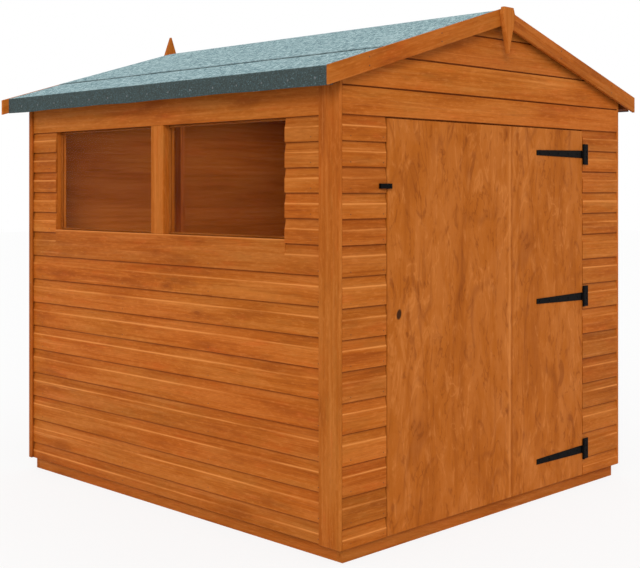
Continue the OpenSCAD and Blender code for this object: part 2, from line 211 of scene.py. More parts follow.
class Piece:
    """Collects closed tubes of quads with end caps, and turns them into one object."""

    def __init__(self):
        self.points, self.quads, self.caps = [], [], []
        self.layers = {"grain": [], "tone": [], "shade": []}
        self.count = 0

    def tube(self, grid, grain, tone=0.5, shade=0.0):
        """Adds a grid (N, K, 3) whose second index closes on itself, with a face at each end, turned outwards.

        Quads join (i, k), (i, k + 1), (i + 1, k + 1), (i + 1, k); grain holds each point's place in its own timber.
        """
        n, k = grid.shape[:2]
        index = np.arange(n * k).reshape(n, k) + self.count
        ahead = np.roll(index, -1, axis=1)
        quads = np.stack([index[:-1], ahead[:-1], ahead[1:], index[1:]], axis=-1).reshape(-1, 4)
        first, last = index[0][::-1], index[-1]
        if volume(grid) < 0:
            quads, first, last = quads[:, ::-1], first[::-1], last[::-1]
        self.quads += quads.tolist()
        self.caps += [first.tolist(), last.tolist()]
        self.points.append(grid.reshape(-1, 3))
        self.layers["grain"].append(np.reshape(grain, (-1, 3)))
        for label, value in (("tone", tone), ("shade", shade)):
            self.layers[label].append(np.broadcast_to(value, (n, k)).reshape(-1))
        self.count += n * k

    def build(self, name, body, slot, material, replaced=(), sharp=32.0):
        """Makes the mesh, smooth but for its sharp edges, and rides it on its body."""
        mesh = bpy.data.meshes.new(name)
        mesh.from_pydata(np.concatenate(self.points), [], self.quads + self.caps)
        mesh.polygons.foreach_set("use_smooth", np.ones(len(mesh.polygons), dtype=bool))
        for label, parts in self.layers.items():
            kind, key = ("FLOAT_VECTOR", "vector") if label == "grain" else ("FLOAT", "value")
            layer = mesh.attributes.new(label, kind, "POINT")
            layer.data.foreach_set(key, np.concatenate(parts).astype(np.float32).reshape(-1))
        mesh.update()
        mesh.set_sharp_from_angle(angle=math.radians(sharp))
        piece = add_object(name, mesh)
        mesh.materials.append(material)
        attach(piece, body)
        for node in replaced:
            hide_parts(node)
        return piece


class Dice:
    """Seeded random numbers for tones and grain offsets."""

    def __init__(self, salt):
        self.rng = np.random.default_rng(RNG_SEED + salt)

    def tone(self):
        return float(self.rng.uniform(0.0, 1.0))

    def heart(self):
        """Where a timber lies in its tree: along, across and depth from the heart, in metres."""
        return np.array([self.rng.uniform(0, 40), self.rng.uniform(-0.05, 0.05), self.rng.uniform(0.012, 0.07)])

    def phases(self, n):
        return self.rng.uniform(0, 2 * math.pi, n)


def section_box(width, height, arris, steps=(1, 1)):
    """Closed rectangular section with eased arrises, centred, as (K, 2) points.

    Each corner is cut at 45 degrees by the arris, and long sides take a few more points.
    """
    w, h, e = width / 2, height / 2, min(arris, width / 3, height / 3)
    corners = [(-w + e, -h), (w - e, -h), (w, -h + e), (w, h - e), (w - e, h), (-w + e, h), (-w, h - e), (-w, -h + e)]
    points = []
    for i, (p, q) in enumerate(zip(corners, corners[1:] + corners[:1])):
        n = steps[0] if i in (0, 4) else steps[1] if i in (2, 6) else 1
        t = np.arange(n)[:, None] / n
        points.append(np.array(p) * (1 - t) + np.array(q) * t)
    return np.concatenate(points)


def straight_timber(piece, lo, hi, axis, dice, arris, tone=None, ends=None, stations=6, steps=(1, 1), shade=None):
    """Box-like timber from corner lo to corner hi, carried along one axis, with eased arrises.

    P(s, k) = lower end + s (upper end - lower end) at section point k; ends gives other ends as functions of the point.
    """
    lo, hi = np.array(lo, float), np.array(hi, float)
    across = [i for i in range(3) if i != axis]
    size, middle = (hi - lo)[across], ((lo + hi) / 2)[across]
    cap = min(arris, (hi[axis] - lo[axis]) / 4)
    s = np.concatenate([[0.0], np.linspace(0.0, 1.0, stations), [1.0]])[:, None]
    shrink, nudge = np.zeros((2, len(s), 1))
    shrink[[0, -1]] = 1.0
    nudge[1], nudge[-2] = cap, -cap
    flat = section_box(*size, arris, steps) * (1.0 - shrink[..., None] * (2 * cap / size))
    grid = np.zeros((*flat.shape[:2], 3))
    grid[..., across] = middle + flat
    first, last = (end(grid) for end in ends) if ends else (lo[axis], hi[axis])
    grid[..., axis] = first + (last - first) * s + nudge
    grain = np.concatenate([grid[..., [axis]], flat], axis=-1) + dice.heart()
    if size[0] < size[1]:
        grain = grain[..., [0, 2, 1]]
    piece.tube(grid, grain, dice.tone() if tone is None else tone, shade(grid) if shade else 0.0)


def disc(piece, centre, normal, radius, height, sides=8):
    """Low domed head: rings of radius r cos(a) at height h sin(a) along the normal."""
    normal = np.array(normal, float) / np.linalg.norm(normal)
    side = np.cross(normal, (0, 1, 0) if abs(normal[1]) < 0.9 else (1, 0, 0))
    side /= np.linalg.norm(side)
    other = np.cross(normal, side)
    angle = np.arange(sides)[:, None] * (2 * math.pi / sides)
    ring = np.cos(angle) * side + np.sin(angle) * other
    rise = np.array([-0.5, 0.25, 0.75, 1.0])[:, None, None]
    size = np.array([1.0, 1.0, 0.82, 0.35])[:, None, None]
    grid = np.array(centre) + radius * size * ring + height * rise * normal
    piece.tube(grid, grid)


# ---- Node groups and materials


class Value:
    """A shader value that plain signs work on: each sign places one Math node."""

    def __init__(self, nodes, socket):
        self.nodes, self.socket = nodes, socket

    def __add__(self, other):
        return self.nodes.math("ADD", self, other)

    def __sub__(self, other):
        return self.nodes.math("SUBTRACT", self, other)

    def __mul__(self, other):
        return self.nodes.math("MULTIPLY", self, other)

    def __truediv__(self, other):
        return self.nodes.math("DIVIDE", self, other)


class Nodes:
    """Short way to place and join shader nodes."""

    def __init__(self, tree):
        self.tree = tree

    def node(self, kind, inputs=(), **settings):
        made = self.tree.nodes.new(kind)
        for key, value in settings.items():
            setattr(made, key, value)
        for key, value in dict(inputs).items():
            self.feed(made.inputs[key], value)
        return made

    def value(self, kind, inputs=(), output=0, **settings):
        """One output of a new node."""
        return Value(self, self.node(kind, inputs, **settings).outputs[output])

    def feed(self, socket, value):
        if isinstance(value, Value):
            value = value.socket
        if isinstance(value, bpy.types.NodeSocket):
            self.tree.links.new(value, socket)
        elif isinstance(value, (int, float)) or len(value) == len(socket.default_value):
            socket.default_value = value
        else:
            socket.default_value = (*value, 1.0)

    def math(self, operation, a, b=0.0):
        return self.value("ShaderNodeMath", {0: a, 1: b}, operation=operation)

    def scaled(self, vector, scale):
        return self.value("ShaderNodeVectorMath", {0: vector, 1: scale}, "Vector", operation="MULTIPLY")

    def combine(self, x, y, z):
        return self.value("ShaderNodeCombineXYZ", {"X": x, "Y": y, "Z": z})

    def split(self, vector):
        return [Value(self, part) for part in self.node("ShaderNodeSeparateXYZ", {0: vector}).outputs]

    def place(self):
        return self.value("ShaderNodeTexCoord", output="Object")

    def attribute(self, name, output):
        return self.value("ShaderNodeAttribute", output=output, attribute_name=name)

    def noise(self, vector, scale=1.0, detail=2.0, rough=0.5, distortion=0.0):
        sizes = {"Scale": scale, "Detail": detail, "Roughness": rough, "Distortion": distortion}
        return self.value("ShaderNodeTexNoise", {"Vector": vector, **sizes})

    def cells(self, vector, scale, **settings):
        """Three random numbers for each Voronoi cell, and the distance from its middle."""
        made = self.node("ShaderNodeTexVoronoi", {"Vector": vector, "Scale": scale}, **settings)
        return self.split(made.outputs["Color"]), Value(self, made.outputs["Distance"])

    def remap(self, value, a, b, c=0.0, d=1.0, kind="SMOOTHSTEP"):
        return self.value("ShaderNodeMapRange", enumerate((value, a, b, c, d)), interpolation_type=kind)

    def mix(self, factor, a, b, blend="MIX"):
        return self.value("ShaderNodeMix", {0: factor, 6: a, 7: b}, 2, data_type="RGBA", blend_type=blend)

    def layers(self, colour, *rows):
        """Lays colours over one another. A row is a field, where it starts and ends, its strength and its colour."""
        for field, start, end, strength, over in rows:
            colour = self.mix(self.remap(field, start, end) * strength, colour, over)
        return colour

    def relief(self, shader, height, strength, distance):
        inputs = {"Strength": strength, "Distance": distance, "Height": height}
        self.feed(shader.inputs["Normal"], self.value("ShaderNodeBump", inputs))

    def surface(self, factor, shader, other):
        """Ends the material in a mix of two shaders."""
        both = self.node("ShaderNodeMixShader", {0: factor, 1: shader.outputs[0], 2: other.outputs[0]})
        end = next(x for x in self.tree.nodes if x.type == "OUTPUT_MATERIAL")
        self.feed(end.inputs["Surface"], both.outputs[0])


def new_group(name, inputs, outputs):
    """A shader node group with named sockets: its nodes, its inputs as values, and its outputs' sockets.

    A default of None makes a vector socket, a number a float one and a tuple a colour.
    """
    group = bpy.data.node_groups.new(name, "ShaderNodeTree")
    for label, default in inputs.items():
        kind = "Vector" if default is None else "Color" if isinstance(default, tuple) else "Float"
        socket = group.interface.new_socket(label, in_out="INPUT", socket_type="NodeSocket" + kind)
        if default is not None:
            socket.default_value = default
    for label in outputs:
        kind = "Color" if label == "Color" else "Float"
        group.interface.new_socket(label, in_out="OUTPUT", socket_type="NodeSocket" + kind)
    n = Nodes(group)
    given = n.node("NodeGroupInput").outputs
    return n, {label: Value(n, given[label]) for label in inputs}, n.node("NodeGroupOutput").inputs


# Stain colours of the wood; Dark also paints shadow and Lit paints highlight where a piece's Shade says so.
STAIN_AND_LIGHT_COLOURS = dict.fromkeys(("Pale", "Body", "Dark", "Lit"), (0.5, 0.5, 0.5, 1))
RED_BLUSH, OLIVE_BLUSH = (0.58, 0.090, 0.012), (0.28, 0.120, 0.022)


def shaded(n, colour, given, thin):
    """Paints light and shade: positive Shade sinks a place into the Dark colour, as painted shadow on the boards and as
    the dark joint line of the door; negative Shade gives it the Lit colour where thin is high, as painted highlight on
    the boards' arrises and as the pale margin beside the door joint.
    """
    colour = n.mix(n.math("MAXIMUM", given["Shade"], 0.0) * 0.9, colour, given["Dark"])
    return n.mix(n.math("MAXIMUM", given["Shade"] * -1.0, 0.0) * thin, colour, given["Lit"])


def timber_figure_group():
    """Softwood figure: growth rings at distance r from a wandering heart, fibres, stain patches and knots.

    r = sqrt(across^2 + depth^2) after a slow warp, and each ring darkens as (r / spacing mod 1)^2.6.
    Shade above 0 sinks a place into painted shadow, and below 0 gives it the Lit colour as a painted highlight on an
    arris.
    """
    numbers = {"Spacing": 0.0048, "Contrast": 0.5, "Knots": 0.5}
    inputs = {"Grain": None, "Tone": 0.5, "Shade": 0.0, **STAIN_AND_LIGHT_COLOURS, **numbers}
    n, given, out = new_group("Timber Figure", inputs, ("Color", "Height", "Roughness"))
    along, across, depth = n.split(given["Grain"])
    dark, lit, contrast = given["Dark"], given["Lit"], given["Contrast"]

    def field(u, v, w, detail, rough=0.55):
        """Noise with u, v and w waves a metre along, across and into the timber."""
        return n.noise(n.combine(along * u, across * v, depth * w), 1.0, detail, rough)

    pick, distance = n.cells(n.combine(along * 1.9, across * 5.2, 0.0), 1.0, voronoi_dimensions="2D")
    wants = n.math("LESS_THAN", pick[0], given["Knots"])
    near = distance + (field(40, 60, 0, 2) - 0.5) * 0.05
    knot, swell, halo = (n.remap(near, a, b) * wants for a, b in ((0.050, 0.026), (0.26, 0.03), (0.12, 0.045)))

    drift = (field(1.1, 7.0, 1.0, 3) - 0.5) * 0.030
    sway = (field(0.55, 0.0, 2.0, 1) - 0.5) * 0.16
    y, z = across + sway + drift, depth + swell * 0.014
    r = n.math("SQRT", y * y + z * z) + drift * 0.35
    phase = n.math("FRACT", r / given["Spacing"])
    late = n.math("POWER", phase, 2.6) * n.remap(phase, 1.0, 0.90)

    fibre = field(7.0, 330.0, 330.0, 2)
    streak = field(1.5, 60.0, 40.0, 4, 0.62)
    patch = field(2.2, 13.0, 6.0, 4, 0.6)
    slow = field(0.9, 3.0, 2.0, 2)
    fleck = field(26.0, 110.0, 60.0, 3, 0.65)
    blush = field(5.0, 20.0, 9.0, 3, 0.6)

    colour = n.mix(n.remap(patch * 0.5 + streak * 0.5, 0.41, 0.63), given["Body"], given["Pale"])
    colour = n.layers(colour, (patch, 0.47, 0.30, 0.34, dark), (streak, 0.62, 0.76, 0.5, lit))
    colour = n.layers(
        n.mix(late * contrast, colour, dark),
        (streak, 0.45, 0.28, contrast * 0.9, dark),
        (fibre, 0.5, 0.25, 0.20, dark),
        (fleck, 0.52, 0.70, 0.16, dark),
        (fleck, 0.48, 0.32, 0.18, lit),
        (blush, 0.56, 0.72, 0.14, RED_BLUSH),
        (blush, 0.45, 0.30, 0.16, OLIVE_BLUSH),
    )
    colour = n.mix(knot * 0.42, n.mix(halo * 0.26, colour, dark), dark)
    warm = n.remap(slow, 0.35, 0.65) * 0.14
    level = given["Tone"] * 0.18 + 0.90 - warm
    colour = n.mix(1.0, colour, n.combine(level + warm * 1.2, level + warm * 0.4, level), "MULTIPLY")
    n.feed(out["Color"], shaded(n, colour, given, n.remap(streak, 0.36, 0.58, 0.15, 1.0)))
    n.feed(out["Height"], fibre * 0.5 - late * 0.5 - knot * 0.4)
    n.feed(out["Roughness"], n.remap(streak, 0.3, 0.7, 0.66, 0.52))


def ply_figure_group():
    """Rotary-cut figure: soft mottles, pale veins where a slow field is near its middle, and thin dark contour lines.

    Contour lines lie where 11 h(along, across) is near a whole number, in the parts that a second field picks.
    """
    inputs = {"Grain": None, "Shade": 0.0, **STAIN_AND_LIGHT_COLOURS, "Contrast": 0.5}
    n, given, out = new_group("Ply Figure", inputs, ("Color", "Height", "Roughness"))
    along, across, _ = n.split(given["Grain"])
    dark, lit = given["Dark"], given["Lit"]

    def field(u, v, layer, detail, rough=0.55, distortion=0.0):
        """Noise with u and v waves a metre along and across the sheet."""
        return n.noise(n.combine(along * u, across * v, layer), 1.0, detail, rough, distortion)

    def curl(u, v, layer, width):
        """Thin lines where a folded field passes its middle."""
        return n.remap(n.math("ABSOLUTE", field(u, v, layer, 4, 0.6, 1.4) - 0.5), width, 0.0)

    band = n.math("PINGPONG", field(1.0, 3.2, 0.0, 2, 0.5, 0.8) * 11.0, 0.5)
    line = n.remap(band, 0.20, 0.0) * n.remap(field(1.5, 4.0, 7.0, 2), 0.47, 0.60)
    ribbon = field(1.2, 6.5, 2.0, 4, 0.6, 1.0)
    mottle = field(5.0, 9.0, 4.0, 5, 0.64, 1.4)
    swirl = field(4.2, 8.5, 9.0, 4, 0.62, 2.6)
    vein = curl(1.7, 6.5, 12.0, 0.030)
    crease = curl(1.9, 7.5, 17.0, 0.020)
    fibre = field(10.0, 260.0, 3.0, 2)

    colour = n.layers(
        n.mix(n.remap(ribbon * 0.6 + mottle * 0.4, 0.40, 0.62), given["Body"], given["Pale"]),
        (ribbon, 0.47, 0.33, 0.22, dark),
        (swirl, 0.45, 0.30, 0.44, dark),
        (swirl, 0.58, 0.76, 0.26, lit),
        (mottle, 0.42, 0.60, vein * 0.28, lit),
        (mottle, 0.58, 0.40, crease * 0.46, dark),
    )
    colour = n.layers(n.mix(line * given["Contrast"], colour, dark), (fibre, 0.5, 0.25, 0.14, dark))
    n.feed(out["Color"], shaded(n, colour, given, n.remap(ribbon, 0.36, 0.56, 0.2, 1.0)))
    n.feed(out["Height"], fibre * 0.5 - line * 0.4)
    n.feed(out["Roughness"], n.remap(mottle, 0.3, 0.7, 0.64, 0.54))


def granule_group():
    """Mineral face: one colour for each cell of a fine Voronoi field, with clumps drawn out down the slope.

    The clumps are noise of (42 x, 100 y, 70 z), about 10 mm along the eaves and 24 mm down the roof.
    """
    labels = ("Pale", "Body", "Dark", "Edge")
    inputs = {"Vector": None, "Size": 0.002, "Fold": 0.0, **dict.fromkeys(labels, (0.5, 0.5, 0.5, 1))}
    n, given, out = new_group("Granule Face", inputs, ("Color", "Height"))
    place = given["Vector"]
    pale, body, dark, edge = (given[label] for label in labels)
    pick, distance = n.cells(place, n.math("DIVIDE", 1.0, given["Size"]))
    clump = n.noise(n.scaled(place, (42.0, 100.0, 70.0)), 1.0, 3.0, 0.75)
    speck = n.noise(n.scaled(place, (60.0, 150.0, 260.0)), 1.0, 3.0, 0.75)
    open_face = n.layers(
        n.mix(n.remap(pick[0], 0.55, 1.0), body, pale),
        (pick[1], 0.62, 0.98, 0.75, dark),
        (clump, 0.51, 0.60, 0.95, dark),
        (clump, 0.49, 0.40, 0.95, pale),
        (n.noise(place, 4.0, 4.0, 0.6), 0.50, 0.72, 0.22, pale),
    )
    folded = n.layers(
        edge,
        (speck, 0.54, 0.74, 0.6, body),
        (clump, 0.50, 0.38, 0.22, dark),
        (speck, 0.46, 0.30, 0.6, n.mix(0.5, edge, (0.0, 0.0, 0.0))),
    )
    # Mixes in the folded colour: the felt's own darker colour on the eaves drop, and painted shadow along the ridge
    # felt's lower edges.
    n.feed(out["Color"], n.mix(given["Fold"], open_face, folded))
    n.feed(out["Height"], distance * -0.6 + (clump + speck))


def new_material(name, gloss=0.5, roughness=0.5):
    material = bpy.data.materials.new(name)
    material.use_nodes = True
    shader = next(x for x in material.node_tree.nodes if x.type == "BSDF_PRINCIPLED")
    shader.inputs["Specular IOR Level"].default_value = gloss
    shader.inputs["Roughness"].default_value = roughness
    return material, Nodes(material.node_tree), shader


def group_material(name, figure, values, fields, relief, gloss, roughness=0.5):
    """Material whose colour, relief and, where it has one, roughness come from a node group."""
    material, n, shader = new_material(name, gloss, roughness)
    group = n.node("ShaderNodeGroup", node_tree=bpy.data.node_groups[figure])
    for label, value in (*values.items(), *fields(n).items()):
        n.feed(group.inputs[label], value)
    n.feed(shader.inputs["Base Color"], group.outputs["Color"])
    if "Roughness" in group.outputs:
        n.feed(shader.inputs["Roughness"], group.outputs["Roughness"])
    n.relief(shader, group.outputs["Height"], *relief)
    return material, n, shader, group


def axis_grain(n, axis):
    """Grain of a timber that keeps its modelled mesh: its place along the axis, and folded across it near a heart."""
    parts = n.split(n.place())
    along, u, v = parts[axis], parts[(axis + 1) % 3], parts[(axis + 2) % 3]
    return n.combine(
        along + (u + v) * 3.7,
        n.math("PINGPONG", u + 5.0, 0.083) - 0.03,
        n.math("PINGPONG", v + 5.0, 0.071) + 0.01,
    )


def timber_material(name, rough=False, axis=None, contrast=0.5, knots=0.35, darken=0.0):
    """Stained timber. It reads the piece's own grain, or for a modelled node the place along one axis."""
    t = bpy.context.scene.shed_timber
    stain_and_light_colours = {"Pale": t.pale, "Body": t.rough_body if rough else t.body, "Dark": t.dark, "Lit": t.lit}
    values = {label: tuple(c * (1.0 - darken) for c in stain) for label, stain in stain_and_light_colours.items()}
    values |= {"Spacing": t.ring, "Contrast": contrast, "Knots": knots}

    def fields(n):
        if axis is not None:
            return {"Grain": axis_grain(n, axis)}
        tone, shade = n.attribute("tone", "Fac"), n.attribute("shade", "Fac")
        return {"Grain": n.attribute("grain", "Vector"), "Tone": tone, "Shade": shade}

    return group_material(name, "Timber Figure", values, fields, (0.35, 0.0006), WOOD_GLOSS)[0]


def dead_knot(n):
    """Mask of the small slanted knot in the door: 1 inside ((x' / 13 mm)^2 + (z' / 19 mm)^2) = 1, soft at its rim."""
    x, _, z = n.split(n.place())
    dx, dz = x - KNOT_PLACE[0], z - KNOT_PLACE[1]
    offset = n.combine((dx - dz * 0.15) / KNOT_SIZE[0], dz / KNOT_SIZE[1], 0.0)
    size = n.value("ShaderNodeVectorMath", {0: offset}, "Value", operation="LENGTH")
    return n.remap(size, 1.25, 0.75) * 0.92


def ply_material(name):
    t = bpy.context.scene.shed_timber
    values = {"Pale": t.ply_pale, "Body": t.body, "Dark": t.dark, "Lit": t.lit, "Contrast": 0.30}
    fields = lambda n: {"Grain": n.attribute("grain", "Vector"), "Shade": n.attribute("shade", "Fac")}
    material, n, shader, group = group_material(name, "Ply Figure", values, fields, (0.3, 0.0005), WOOD_GLOSS)
    n.feed(shader.inputs["Base Color"], n.mix(dead_knot(n), group.outputs["Color"], (0.018, 0.007, 0.003)))
    return material


def felt_material():
    f = bpy.context.scene.shed_felt
    values = {"Size": f.granule, "Pale": f.pale, "Body": f.body, "Dark": f.dark, "Edge": f.edge}
    fields = lambda n: {"Vector": n.place(), "Fold": n.attribute("shade", "Fac")}
    return group_material("Mineral felt", "Granule Face", values, fields, (0.5, 0.0012), 0.1, 0.95)[0]


def iron_material():
    material, n, shader = new_material("Japanned iron", gloss=0.05)
    place, black = n.place(), tuple(bpy.context.scene.shed_iron.black)
    coarse = n.noise(place, 60.0, 4.0, 0.6)
    n.feed(shader.inputs["Base Color"], n.mix(n.remap(coarse, 0.42, 0.75), black, tuple(c * 1.7 for c in black)))
    n.feed(shader.inputs["Roughness"], n.remap(coarse, 0.3, 0.7, 0.42, 0.58))
    n.relief(shader, n.noise(place, 900.0, 2.0), 0.25, 0.0003)
    return material


def nail_material(name, head):
    """Small heads in one dull metal colour, blotched darker."""
    material, n, shader = new_material(name)
    spots = n.noise(n.place(), 420.0, 3.0, 0.7)
    dull = tuple(c * 0.4 for c in head)
    n.feed(shader.inputs["Base Color"], n.mix(n.remap(spots, 0.4, 0.65), tuple(head), dull))
    n.feed(shader.inputs["Roughness"], n.remap(spots, 0.3, 0.7, 0.45, 0.7))
    shader.inputs["Metallic"].default_value = 0.6
    return material


def glass_material():
    """Clear sheet. Shadow rays pass straight through, so the room is lit as through an open window."""
    material, n, shader = new_material("Clear sheet", roughness=0.02)
    shader.inputs["Base Color"].default_value = (0.97, 0.98, 0.98, 1)
    shader.inputs["IOR"].default_value = 1.05
    shader.inputs["Transmission Weight"].default_value = 1.0
    path = n.node("ShaderNodeLightPath").outputs
    unseen = n.math("MAXIMUM", path["Is Shadow Ray"], path["Is Diffuse Ray"])
    n.surface(unseen, shader, n.node("ShaderNodeBsdfTransparent"))
    return material


def set_node_material(material, *nodes):
    """Gives modelled nodes their finish."""
    for node in nodes:
        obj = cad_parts[node]
        obj.data.materials.clear()
        obj.data.materials.append(material)


# ---- Shiplap walls


class Wall:
    """A wall's own axes: along it, out of its outer face, and up."""

    def __init__(self, along, out, face):
        self.along, self.out, self.face = np.array(along, float), np.array(out, float), face

    def place(self, a, o, z):
        a, o, z = (np.asarray(v)[..., None] for v in (a, o, z))
        return a * self.along + (o + self.face) * self.out + z * np.array([0.0, 0.0, 1.0])


WALLS = {
    "left": Wall((0, 1, 0), (-1, 0, 0), WALL_X),
    "right": Wall((0, 1, 0), (1, 0, 0), WALL_X),
    "front": Wall((1, 0, 0), (0, -1, 0), WALL_Y),
    "back": Wall((1, 0, 0), (0, 1, 0), WALL_Y),
}
GABLE_LAPS = HEAD_Z + np.array([0.0, 0.107, 0.226, 0.352, 0.466])  # above the door head, up to the ridge


def courses(t):
    """Lap lines of the walls, from the lowest edge up: full courses, then narrow ones to the window head."""
    narrow = HEAD_Z - t.upper_course * np.arange(5, -1, -1)
    full = narrow[0] - t.course * np.arange(1, 10)[::-1]
    return np.concatenate([[WALL_Z], full[full > WALL_Z + 0.02], narrow])


def gable_half(z):
    """Half width of a gable at height z: the wall's, or (apex - z) / slope under the roof."""
    return np.clip((APEX_Z - 0.0005 - z) / SLOPE, 0.0005, WALL_X)


def board_section(t, z0, z1, top, extra=()):
    """Section of one board as (out, up) points, with the painted light at each: above 0 painted shadow on the lower
    lip, in the rebate, at the top of the hollow and behind the face, below 0 a painted highlight on the arris under the
    hollow and on a flush top.

    The face is flat from its lower arris to its top, which is hollow, stepped or flush. The hollow is
    out = -d (1 - (1 - q)^1.9) for q from 0 to 1, and the step is a square rebate. Behind it a tongue
    rises under the next board, and the lower lip is rebated over the tongue below.
    """
    d, e = t.cove_depth, BOARD_EASE
    head = z1 - {"hollow": t.cove, "step": t.step, "flush": 0.0}[top]
    levels = sorted({z0 + e, z0 + 0.006, head} | {z for z in extra if z0 + 0.008 < z < head - 0.001})
    mids = [a + (b - a) * f for a, b in zip(levels, levels[1:]) for f in (0.0, 0.34, 0.67)]
    # Third value of each row: painted shadow above 0, painted highlight below 0.
    rows = [(-e, z0, 0.6), (0.0, mids[0], 0.15)] + [(0.0, z, 0.0) for z in mids[1:]]
    if top == "hollow":
        rows += [(0.0, head - 0.006, 0.0), (0.0, head - 0.0022, -0.3), (0.0, head, -0.95)]
        for q in (0.06, 0.13, 0.28, 0.46, 0.62, 0.76, 0.86, 0.94, 1.0):
            shadow = -0.5 if q < 0.1 else 0.10 + 0.7 * min(max((q - 0.80) / 0.16, 0.0), 1.0)
            rows.append((-d * (1 - (1 - q) ** 1.9), head + t.cove * q, shadow))
    elif top == "step":
        rows += [(0.0, head - 0.004, 0.0), (0.0, head - e, 0.0), (-e, head, 0.4)]
        rows += [(-d, head + 0.0002, 1.0), (-d, z1, 1.0)]
    else:
        rows += [(0.0, z1 - 0.006, 0.0), (0.0, z1 - e, -0.6), (-e, z1, -0.8), (-d, z1, 0.0)]
    rows += [(-d, z1 + t.lap, 0.8), (-BOARD_T, z1 + t.lap, 0.3), (-BOARD_T, z0 + t.lap + 0.0006, 0.3)]
    rows += [(-d + 0.0003, z0 + t.lap + 0.0006, 0.5), (-d + 0.0003, z0, 0.5)]
    return np.array(rows).T


class Boarding:
    """Boards one wall in order, piece by piece, from one set of dice."""

    def __init__(self, t, wood, side, salt):
        self.t, self.wood, self.wall, self.dice, self.piece = t, wood, WALLS[side], Dice(salt), Piece()

    def board(self, z0, z1, start, end, top="hollow", extra=(), ceiling=None, tone=None, heart=None):
        """One board: its section carried along the wall, P(s, k) = start(z_k) + s (end(z_k) - start(z_k)).

        The face wanders inwards by up to 1 mm and the lip up and down by 0.6 mm, as sums of two sines along the board.
        """
        out, up, shadow = board_section(self.t, z0, z1, top, extra)
        if ceiling is not None:
            up = np.minimum(up, ceiling)
        first, last = (end(up) if callable(end) else np.full(up.shape, end) for end in (start, end))
        stations = max(3, int((last - first).max() / STATION) + 2)
        a = first + np.linspace(0, 1, stations)[:, None] * (last - first)
        p = self.dice.phases(4)
        wander = -0.0005 - 0.00025 * np.sin(2.3 * a + p[0]) - 0.00022 * np.sin(6.1 * a + p[1])
        on_face = (out > -BOARD_T * 0.4) & (up < z1)
        rise = 0.0006 * np.sin(3.7 * a + p[2]) * np.clip(1 - (up - z0) / 0.02, 0, 1) * on_face
        depth = out + wander * on_face
        heart = self.dice.heart() if heart is None else heart
        grain = xyz(a, up - z0 - self.t.course / 2, depth) + heart
        tone = self.dice.tone() if tone is None else tone
        self.piece.tube(self.wall.place(a, depth, up + rise), grain, tone, shadow)

    def run(self, laps, start, end, **options):
        for z0, z1 in zip(laps, laps[1:]):
            self.board(z0, z1, start, end, **options)

    def gable(self):
        left = lambda z: -gable_half(z)
        self.run(GABLE_LAPS, left, gable_half, top="step", extra=(EAVE_Z,), ceiling=APEX_Z - 0.001)

    def frieze(self):
        """A plain board under the eaves, its section (out, up) carried from end to end."""
        out, up = np.array([0, 0, -BOARD_T, -BOARD_T]), np.array([HEAD_Z, EAVE_Z, EAVE_Z + SLOPE * BOARD_T, HEAD_Z])
        a = np.linspace(-INNER_Y, INNER_Y, 12)[:, None] + np.zeros(4)
        grain = xyz(a, up - up.mean(), out) + self.dice.heart()
        self.piece.tube(self.wall.place(a, out, up), grain, 0.45)

    def build(self, name, *nodes):
        self.piece.build(name, SHED, "wall_boards", self.wood, nodes)
        self.piece = Piece()


class SHED_OT_walls(bpy.types.Operator):
    """Board the four walls with shiplap, notched round the windows and the doorway."""

    bl_idname = "shed.walls"
    bl_label = "Wall boards"

    def execute(self, context):
        t = context.scene.shed_timber
        laps = courses(t)
        wood = timber_material("Shiplap boards", contrast=0.27, knots=0.14)

        # Left wall: whole boards to the sill, short ones on the piers, and the frieze over the windows.
        work = Boarding(t, wood, "left", 1)
        near, far = low("window_panes")[1], high("window_panes")[1]
        split = int(np.searchsorted(laps, SILL_Z)) - 1
        work.run(laps[:split], -INNER_Y, INNER_Y)
        notched = {"tone": work.dice.tone(), "heart": work.dice.heart()}
        under, beside = laps[split - 1], laps[split]
        work.board(under, SILL_Z, near, far, top="flush", ceiling=SILL_Z, **notched)
        for a, b in ((-INNER_Y, near), (far, INNER_Y)):
            work.board(under, beside, a, b, **notched)
            work.run(laps[split:], a, b)
        work.build("wall_boards_left", "left_wall_lower", "left_wall_piers")
        work.frieze()
        work.build("window_frieze", "left_wall_frieze")

        # Right wall: the same courses, carried up to the roof.
        work = Boarding(t, wood, "right", 2)
        work.run(laps, -INNER_Y, INNER_Y)
        work.frieze()
        work.build("wall_boards_right", "right_wall")

        # Front wall: strips beside the doorway, and the gable.
        work = Boarding(t, wood, "front", 3)
        doorway = high("front_wall_latch_side")[0], low("front_wall_hinge_side")[0]
        for side, a, b in (("latch", -WALL_X, doorway[0]), ("hinge", doorway[1], WALL_X)):
            work.run(laps, a, b, ceiling=HEAD_Z)
            work.build(f"wall_boards_{side}_side", f"front_wall_{side}_side")
        work.gable()
        work.build("wall_boards_front_gable", "front_gable")

        work = Boarding(t, wood, "back", 4)
        work.run(laps, -WALL_X, WALL_X)
        work.gable()
        work.build("wall_boards_back", "back_wall")
        return {"FINISHED"}


# ---- Trims and bargeboards


class SHED_OT_trims(bpy.types.Operator):
    """Cut the corner trims, with eased arrises and tops bevelled to the roof."""

    bl_idname = "shed.trims"
    bl_label = "Corner trims"

    def execute(self, context):
        wood = timber_material("Corner trims", contrast=0.14, knots=0.16, darken=0.09)
        dice = Dice(5)
        foot = lambda grid: np.full(grid.shape[:2], WALL_Z)
        top = lambda grid: APEX_Z - SLOPE * np.abs(grid[..., 0]) - 0.0004
        for node in ("corner_trims_front", "corner_trims_back"):
            piece = Piece()
            lo, hi = low(node), high(node)
            for x0, x1 in ((lo[0], -WALL_X), (WALL_X, hi[0])):
                corners = (x0, *lo[1:]), (x1, *hi[1:])
                straight_timber(piece, *corners, 2, dice, 0.002, ends=(foot, top), stations=12)
            piece.build(node + "_eased", SHED, "trim_timber", wood, (node,))
        return {"FINISHED"}


